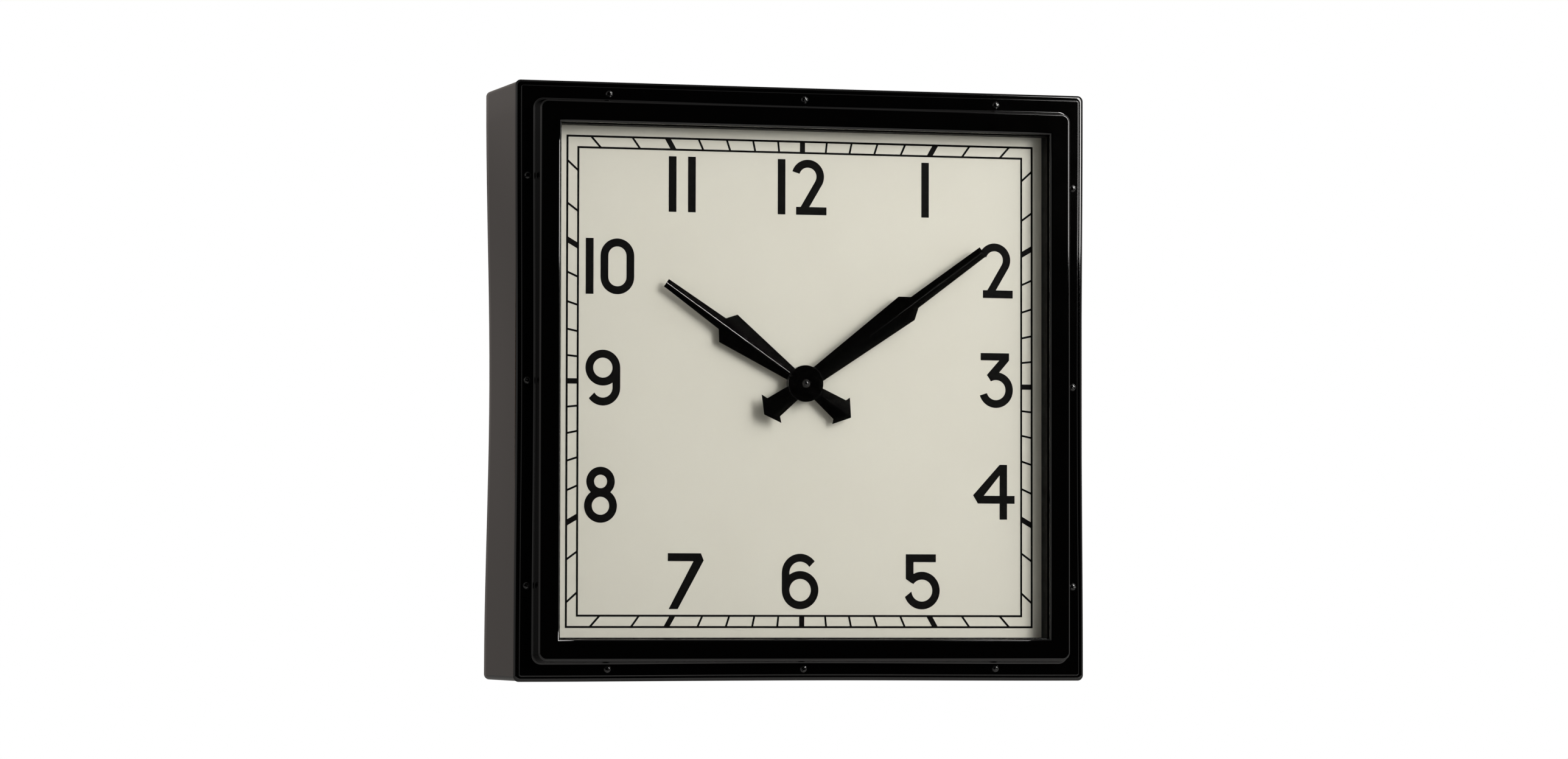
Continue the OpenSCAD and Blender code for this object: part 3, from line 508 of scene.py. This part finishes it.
def foot_profile():
    """The hollow rounding where the frame's slope meets the flange."""
    r = 1.6
    centre = 198.02
    slope = 83.6
    steps = 8
    return [(centre - r * sin(radians(a)), r - r * cos(radians(a)))
            for a in [slope * (1 - i / steps) for i in range(steps + 1)]]


def build_bezel():
    """One pressing: lip, raised frame, flange with a lowered rim, and the inside of the frame.
    Rings close to a rounding keep the flats beside it flat when they are shaded smooth."""
    frame_corner = 189.6  # where the frame's corner radius would be 0
    rim_corner = 204.6
    rim_drop = 0.60
    sheet_back = -2.2

    def frame_radius(half):
        return half - frame_corner

    def top_radius(half):
        return max(frame_radius(half), 0.0)

    def foot_radius(half):
        return frame_radius(half) * 0.9

    def rim_radius(half):
        return half - rim_corner

    def edge_radius(half):
        return 2.9 + (half - 207.5) * 0.44

    def front_bow(i):
        return FRONT_BOW

    loops = rings(lip_profile(), lambda half: 0.0)
    loops += rings([(half, FRAME_HEIGHT) for half in (182.15, 184.5, 190.0, 193.74)], top_radius)
    loops += rings(arc((193.859, FRAME_HEIGHT - 1.5), 1.5, 0, 83.6, 10), frame_radius)
    loops += rings(foot_profile(), foot_radius, lambda i: 0.6 + 0.3 * i / 8)
    loops += rings([(198.15, 0.0)], foot_radius, lambda i: 0.9)
    loops += rings([(201.5, 0.0)], lambda half: 6.0)
    loops += rings([(205.5, 0.0), (205.62, 0.0)], lambda half: 1.0, front_bow)
    loops += rings(arc((205.7, -0.35), 0.35, 0, 90, 4), rim_radius, front_bow)
    loops += rings([(206.12, -0.52), (206.3, -rim_drop), (206.45, -rim_drop), (207.35, -rim_drop)],
                   rim_radius, front_bow)
    loops += rings(arc((207.5, -2.0), 2.5, 0, 90, 12, 1.4), edge_radius, front_bow)
    loops += rings([(BEZEL_HALF, sheet_back)], lambda half: 4.0, front_bow)
    loops += rings([(195.1, sheet_back), (195.05, 0.0), (193.75, 10.6), (193.5, 11.0)],
                   frame_radius)
    loops += rings([(190.0, 11.0)], lambda half: 0.9)
    return new_object("bezel_shell", mesh_from(skin(loops), "bezel_shell"),
                      M["bezel_enamel"], "case", 34)


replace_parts(build_bezel(), "bezel")

# ---------------------------------------------------------------- case and back panel

REAR_BOW = (1.1, 3.1, 1.3, 3.1)  # how far the case's sides draw in at the wall
CASE_DEPTH = 88.3
CASE_SHEET = 1.2
CASE_HALF = 209.5
PANEL_FRONT = -5.0
PANEL_BACK = PANEL_FRONT + CASE_SHEET


def side_bow(y):
    """How far the walls are drawn in at a depth, growing towards the rear."""
    t = max(0.0, min(1.0, (y + CASE_DEPTH) / CASE_DEPTH))
    grow = t ** 1.25
    return tuple(a + (b - a) * grow for a, b in zip(FRONT_BOW, REAR_BOW))


def build_case():
    """Bent sheet box: outer walls, rounded rear rim, ledge for the panel, inner walls, front lip."""
    inside_half = CASE_HALF - CASE_SHEET
    inside_r = 2.8
    ledge = (196.0, 6.0)
    lip = (192.8, 6.0)
    ledge_back = PANEL_FRONT
    ledge_front = PANEL_FRONT - CASE_SHEET
    lip_back = CASE_SHEET - CASE_DEPTH
    outer_steps = 12
    inner_steps = 5
    loops = []
    for i in range(outer_steps + 1):
        y = -CASE_DEPTH + (CASE_DEPTH - 0.5) * i / outer_steps
        loops.append(ring(CASE_HALF, 4.0, y, side_bow(y)))
    for half, r, y in ((209.35, 3.85, -0.15), (209.0, 3.5, 0.0), (208.6, 3.1, 0.0),
                       (208.35, 2.85, -0.2), (inside_half, inside_r, -0.5)):
        loops.append(ring(half, r, y, REAR_BOW))
    loops.append(ring(inside_half, inside_r, ledge_back, side_bow(ledge_back)))
    loops.append(ring(*ledge, ledge_back))
    loops.append(ring(*ledge, ledge_front))
    loops.append(ring(inside_half, inside_r, ledge_front, side_bow(-6)))
    for i in range(inner_steps):
        y = ledge_front + (lip_back - ledge_front) * (i + 1) / inner_steps
        loops.append(ring(inside_half, inside_r, y, side_bow(y)))
    loops.append(ring(*lip, lip_back))
    loops.append(ring(*lip, -CASE_DEPTH))
    return new_object("case_sheet_box", mesh_from(skin(loops), "case_sheet_box"),
                      M["case_enamel"], "case", 30)


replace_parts(build_case(), "case_shell")


def half_circle(x, z, r, start):
    """Points (x, z) on half a circle, counter-clockwise from the start angle."""
    steps = 24
    return [(x + r * cos(radians(start + 180 * i / steps)),
             z + r * sin(radians(start + 180 * i / steps))) for i in range(steps + 1)]


def build_panel():
    """Back panel: outline, square access opening and the long window behind the hanger."""
    outline = [(p.x, p.z) for p in ring(207.8, 2.5, 0, side_bow((PANEL_FRONT + PANEL_BACK) / 2))]
    access = [(p.x, p.z) for p in ring(65, 12, 0)]
    window = half_circle(0, 174, 8, 0) + half_circle(0, 160, 8, 180)
    mesh = outline_solid("back_panel_sheet", [outline, access, window], PANEL_FRONT, PANEL_BACK,
                         0.2)
    return new_object("back_panel_sheet", mesh, M["panel_enamel"], "case", 40)


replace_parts(build_panel(), "back_panel")

# ---------------------------------------------------------------- printed track


def build_track():
    """Two square lines and sixty ticks of raised ink, a hair bolder than their drawn width."""
    inner = 163.9
    outer = 171.8
    line = 1.4
    hour_line = 3.75
    back = -86.0
    front = -86.1
    tick_front = front + 0.004  # just under the lines, so that no two faces share a plane
    bm = bmesh.new()

    def ink(corners, top):
        """One raised stroke with four corners (x, z)."""
        low = [bm.verts.new(Vector((x, back, z)) * MM) for x, z in corners]
        high = [bm.verts.new(Vector((x, top, z)) * MM) for x, z in corners]
        bm.faces.new(low)
        bm.faces.new(list(reversed(high)))
        for i in range(4):
            j = (i + 1) % 4
            bm.faces.new((low[j], low[i], high[i], high[j]))

    for half in (inner, outer):
        a = half - line / 2
        b = half + line / 2
        for side in range(4):
            turn = Matrix.Rotation(radians(90 * side), 2)
            ink([tuple(turn @ Vector(c)) for c in ((-a, a), (-b, b), (b, b), (a, a))], front)
    for minute in range(60):
        w = (hour_line if minute % 5 == 0 else line) / 2
        outward = Vector((sin(radians(6 * minute)), cos(radians(6 * minute))))
        across = Vector((outward.y, -outward.x))
        axis = 0 if abs(outward.x) > abs(outward.y) else 1
        sign = 1 if outward[axis] > 0 else -1
        corners = []
        for half, offset in ((inner, -w), (outer, -w), (outer, w), (inner, w)):
            reach = (sign * half - offset * across[axis]) / outward[axis]
            corners.append(tuple(outward * reach + across * offset))
        ink(corners, tick_front)
    return new_object("minute_track_ink", mesh_from(bm, "minute_track_ink"), M["dial_ink"],
                      "case", 30)


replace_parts(build_track(), "minute_track")

# ---------------------------------------------------------------- screws


def screw_mesh(name, r, h, slot_w, slot_d, shank_r, shank_len):
    """A slotted head with a flattened crown on Z = 0, its shank below, and a worn slot."""
    wall = h * 0.36
    under = -0.01  # the head's underside, just inside the sheet
    crown_steps = 14
    profile = [(0, -shank_len), (shank_r, -shank_len), (shank_r, under), (r - 0.12, under),
               (r, 0.12)]
    for i in range(crown_steps + 1):
        u = 1 - i / crown_steps
        profile.append((r * u * 0.995, wall + (h - wall) * (1 - u ** 3.2) ** 0.62))
    profile[-1] = (0, h)
    head = bpy.data.objects.new(name, mesh_from(lathe(profile, 40), name))
    slot = bmesh.new()
    bmesh.ops.create_cube(slot, size=1)
    for v in slot.verts:
        x, y, z = v.co
        v.co = Vector((x * (2 * r + 2), y * slot_w, h - slot_d + (z + 0.5) * 2)) * MM
    cutter = bpy.data.objects.new(name + "_slot", mesh_from(slot, name + "_slot"))
    for obj in (head, cutter):
        bpy.context.scene.collection.objects.link(obj)
    cut = head.modifiers.new("slot", "BOOLEAN")
    cut.operation = "DIFFERENCE"
    cut.solver = "EXACT"
    cut.object = cutter
    worn = head.modifiers.new("worn", "BEVEL")
    worn.width = 0.07 * MM
    worn.segments = 2
    worn.limit_method = "ANGLE"
    worn.angle_limit = radians(50)
    bpy.context.view_layer.update()
    done = bpy.data.meshes.new_from_object(
        head.evaluated_get(bpy.context.evaluated_depsgraph_get()))
    bpy.data.objects.remove(head)
    bpy.data.objects.remove(cutter)
    return done


def scatter(name, source, places, material, cad):
    """Copies one screw to each place, a 4 x 4 matrix, in place of a CAD node."""
    bm = bmesh.new()
    for place in places:
        copy = source.copy()
        copy.transform(place)
        bm.from_mesh(copy)
        bpy.data.meshes.remove(copy)
    mesh = bpy.data.meshes.new(name)
    bm.to_mesh(mesh)
    bm.free()
    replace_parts(new_object(name, mesh, material, "case", 32), cad)


def about_y(degrees):
    """Clockwise seen from the front."""
    return Matrix.Rotation(radians(degrees), 4, "Y")


FORWARD = Matrix.Rotation(radians(90), 4, "X")  # turns +Z to the front
BACKWARD = Matrix.Rotation(radians(180), 4, "Z") @ FORWARD  # turns +Z to the wall


def edge_places(spots, y, out, facing, slot_turns):
    """Places along the four sides at a depth; slot_turns has each slot's angle in degrees."""
    places = []
    for side in range(4):
        for k, spot in enumerate(spots):
            move = Matrix.Translation(Vector((spot, y, out)) * MM)
            turn = Matrix.Rotation(radians(slot_turns[side * len(spots) + k]), 4, "Z")
            places.append(about_y(90 * side) @ move @ facing @ turn)
    return places


bezel_slots = [35, -50, 20, 130, 65, 100, -20, 45, 155, 80, 10, 120]
scatter("bezel_screw_set", screw_mesh("bezel_screw", 2.5, 1.4, 0.7, 0.7, 1.45, 7.8),
        edge_places((-143, 0, 143), FLANGE_Y, 201.3, FORWARD, bezel_slots),
        M["screw_black"], "bezel_screws")

panel_slots = [40 + 53 * (2 * side + k) for side in range(4) for k in (-1, 1)]
scatter("panel_screw_set", screw_mesh("panel_screw", 2.8, 1.8, 0.7, 0.7, 1.2, 7.8),
        edge_places((-120, 120), PANEL_BACK, 202.3, BACKWARD, panel_slots),
        M["zinc_steel"], "back_panel_screws")

# ---------------------------------------------------------------- hands

HOUR_ANGLE = 304.5  # clockwise from twelve
MINUTE_ANGLE = 54.0
# (distance from the axis, half width) from the tail to the tip
HOUR = [(-41.7, 0), (-33.2, 11.5), (-31.8, 8.2), (-12, 5), (12, 5), (67.7, 11.9),
        (73.3, 4.7), (123, 3.2)]
MINUTE = [(-37.8, 0), (-30.7, 12.3), (-28.9, 7.9), (-11, 6), (11, 6), (92.8, 10.2),
          (100, 4.8), (163, 4)]
HUB_RADIUS = 13
HUB_FRONT = 1.75  # front of the hub disc over the hand's back


def hand_section(s, w):
    """The outline (u, depth) of a hand across its length: its front from left to right, then
    its back. The two flats meet in a sharp pressed ridge and the edges roll over."""
    crown = 1.2
    slope = crown / HUB_RADIUS
    sheet = 0.6
    edge = min(0.16, w * 0.4)
    soft = 0.42
    ridge = 0.065 if s > 0 else 0.0
    low = 0.16 if abs(s) < 12.5 else 0.03
    beside = 0.05  # rows this close to a rounding keep the flats flat
    narrow = 0.8

    def front(u):
        rise = crown - slope * abs(u)
        if abs(u) < soft:
            rise += ridge * cos(pi * u / (2 * soft)) ** 2 - slope * (soft - abs(u)) * 0.3
        return sheet + rise - low

    right = [0, soft / 2, soft, soft + beside, w - edge - beside, w - edge, w - edge * 0.35, w]
    drop = [0, 0, 0, 0, 0, 0, edge * 0.35, edge]
    if w < narrow:
        right = [w * i / 7 for i in range(8)]
        drop = [0, 0, 0, 0, 0, 0, edge, edge]
    half = list(zip(right, drop))
    across = [(-u, d) for u, d in reversed(half[1:])] + half
    back = [(w, front(w) - sheet), (0, front(0) - sheet), (-w, front(-w) - sheet)]
    return [(u, front(u) - d) for u, d in across] + back


def hand_mesh(name, stations, y_back):
    """A pressed hand: creased along its middle, with rolled edges and a flat hub disc."""
    bm = bmesh.new()
    rows = [[bm.verts.new(Vector((u, y_back - d, s)) * MM) for u, d in hand_section(s, w)]
            for s, w in stations]
    for a, b in zip(rows, rows[1:]):
        n = len(a)
        for i in range(n):
            j = (i + 1) % n
            bm.faces.new((a[i], a[j], b[j], b[i]))
    bm.faces.new(rows[0])
    bm.faces.new(list(reversed(rows[-1])))
    hub = lathe([(0, 0), (HUB_RADIUS - 0.1, 0), (HUB_RADIUS, 0.1), (HUB_RADIUS, HUB_FRONT - 0.25),
                 (HUB_RADIUS - 0.08, HUB_FRONT - 0.08), (HUB_RADIUS - 0.25, HUB_FRONT),
                 (0, HUB_FRONT)], 96)
    disc = bpy.data.meshes.new("disc")
    hub.to_mesh(disc)
    hub.free()
    disc.transform(Matrix.Translation(Vector((0, y_back, 0)) * MM) @ FORWARD)
    bm.from_mesh(disc)
    bpy.data.meshes.remove(disc)
    return mesh_from(bm, name)


def build_hand(name, stations, y_back, angle, body, cad):
    mesh = hand_mesh(name, stations, y_back)
    mesh.transform(about_y(angle))
    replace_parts(new_object(name, mesh, M["hand_enamel"], body, 22), cad)


build_hand("hour_hand_pressed", HOUR, -90.6, HOUR_ANGLE, "hour", "hour_hand")
build_hand("minute_hand_pressed", MINUTE, -93.6, MINUTE_ANGLE, "minute", "minute_hand")


def build_cap():
    """Domed cap nut: a short cylinder under a shallow ball."""
    r = 3
    side = 1.4
    dome = 1.5
    seat_y = -95.0
    steps = 12
    ball = (r * r + dome * dome) / (2 * dome)
    spread = asin(r / ball)
    profile = [(0, 0), (r - 0.15, 0), (r, 0.15), (r, side - 0.1), (r - 0.04, side + 0.02)]
    for i in range(1, steps + 1):
        a = spread * (1 - i / steps)
        profile.append((ball * sin(a) * 0.985, side + dome - ball + ball * cos(a)))
    profile[-1] = (0, side + dome)
    mesh = mesh_from(lathe(profile, 64), "hand_cap")
    mesh.transform(Matrix.Translation(Vector((0, seat_y, 0)) * MM) @ FORWARD)
    obj = new_object("hand_cap", mesh, M["cap_black"], "minute", 35)
    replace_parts(obj, "hand_cap_nut")


build_cap()

# ---------------------------------------------------------------- stage, light and camera

scene = bpy.context.scene
scene.view_settings.view_transform = "Standard"
scene.view_settings.look = "None"


def build_floor():
    """A pale floor below the hanging clock, for the views that look down."""
    p = Paint("floor_pale", (0.80, 0.80, 0.79), 0.7)
    p.tint(p.spread(p.noise(3, 3), 0.4, 0.7, 0, 0.4), (0.77, 0.77, 0.76))
    bm = bmesh.new()
    bmesh.ops.create_grid(bm, x_segments=8, y_segments=8, size=2.6)
    mesh = bpy.data.meshes.new("floor")
    bm.to_mesh(mesh)
    bm.free()
    mesh.materials.append(p.material)
    obj = bpy.data.objects.new("floor", mesh)
    obj.location = (0, 0.4, -0.52)
    scene.collection.objects.link(obj)


build_floor()


def grey(value):
    return (value, value, value)


def build_world():
    """White to the camera; a grey studio with a dark wall in front for everything else."""
    world = bpy.data.worlds.new("studio")
    scene.world = world
    world.use_nodes = True
    tree = world.node_tree
    tree.nodes.clear()
    add = tree.nodes.new
    link = tree.links.new
    coords = add("ShaderNodeTexCoord")

    def toward(direction):
        """From -1 to 1: how far a ray points in a direction."""
        dot = add("ShaderNodeVectorMath")
        dot.operation = "DOT_PRODUCT"
        dot.inputs[1].default_value = Vector(direction).normalized()
        link(coords.outputs["Generated"], dot.inputs[0])
        return dot.outputs["Value"]

    def ramp(value, stops):
        """Eased colours over a value from -1 to 1; stops are (place from 0 to 1, colour)."""
        r = add("ShaderNodeValToRGB")
        r.color_ramp.interpolation = "EASE"
        for element, (place, tone) in zip(r.color_ramp.elements, (stops[0], stops[-1])):
            element.position = place
            element.color = (*tone, 1)
        for place, tone in stops[1:-1]:
            r.color_ramp.elements.new(place).color = (*tone, 1)
        half = add("ShaderNodeMapRange")
        half.inputs["From Min"].default_value = -1
        half.inputs["From Max"].default_value = 1
        link(value, half.inputs["Value"])
        link(half.outputs["Result"], r.inputs["Fac"])
        return r.outputs["Color"]

    def times(a, b):
        mix = add("ShaderNodeMix")
        mix.data_type = "RGBA"
        mix.blend_type = "MULTIPLY"
        mix.inputs["Factor"].default_value = 1
        link(a, mix.inputs[6])
        link(b, mix.inputs[7])
        return mix.outputs[2]

    depth = ramp(toward((0, 1, 0)), [(0.0, (0.23, 0.225, 0.22)), (0.60, (0.23, 0.225, 0.22)),
                                     (0.85, (0.22, 0.200, 0.186)), (1.0, (0.20, 0.18, 0.168))])
    dark = ramp(toward((0.20, -0.97, 0.05)), [(0.0, grey(1)), (0.87, grey(1)),
                                              (0.945, grey(0.008)), (1.0, grey(0.006))])
    above = ramp(toward((0, 0, 1)), [(0.0, grey(0.9)), (0.520, grey(1)), (0.530, grey(1)),
                                     (0.552, grey(1.5)), (0.60, grey(1.35)), (0.85, grey(0.6)),
                                     (1.0, grey(0.4))])
    room = add("ShaderNodeBackground")
    link(times(depth, times(dark, above)), room.inputs["Color"])
    white = add("ShaderNodeBackground")
    white.inputs["Color"].default_value = (1, 1, 1, 1)
    path = add("ShaderNodeLightPath")
    mix = add("ShaderNodeMixShader")
    link(path.outputs["Is Camera Ray"], mix.inputs["Fac"])
    link(room.outputs["Background"], mix.inputs[1])
    link(white.outputs["Background"], mix.inputs[2])
    link(mix.outputs["Shader"], add("ShaderNodeOutputWorld").inputs["Surface"])


build_world()


def area_light(name, place, target, width, height, power, color):
    data = bpy.data.lights.new(name, "AREA")
    data.shape = "RECTANGLE"
    data.size = width
    data.size_y = height
    data.energy = power
    data.color = color
    obj = bpy.data.objects.new(name, data)
    obj.location = place
    aim = Vector(target) - Vector(place)
    obj.rotation_euler = aim.to_track_quat("-Z", "Y").to_euler()
    scene.collection.objects.link(obj)


area_light("key_box", (1.65, -2.50, 1.32), (0, 0, 1.32), 0.85, 2.10, 46, (1.0, 0.985, 0.965))

CAMERA_PLACE = (-1.1227, -3.7988, -0.1558)
YAW = 16.64  # degrees to the right of +Y
PITCH = 2.348
ROLL = 0.105


def build_camera():
    data = bpy.data.cameras.new("camera")
    data.sensor_width = 36
    data.lens = 125.94
    data.clip_end = 60
    obj = bpy.data.objects.new("camera", data)
    scene.collection.objects.link(obj)
    yaw = radians(YAW)
    pitch = radians(PITCH)
    roll = radians(ROLL)
    forward = Vector((sin(yaw) * cos(pitch), cos(yaw) * cos(pitch), sin(pitch)))
    level = Vector((cos(yaw), -sin(yaw), 0))
    rise = level.cross(forward)
    right = level * cos(roll) + rise * sin(roll)
    up = rise * cos(roll) - level * sin(roll)
    axes = Matrix((right, up, -forward)).transposed().to_4x4()
    obj.matrix_world = Matrix.Translation(CAMERA_PLACE) @ axes
    scene.camera = obj


build_camera()
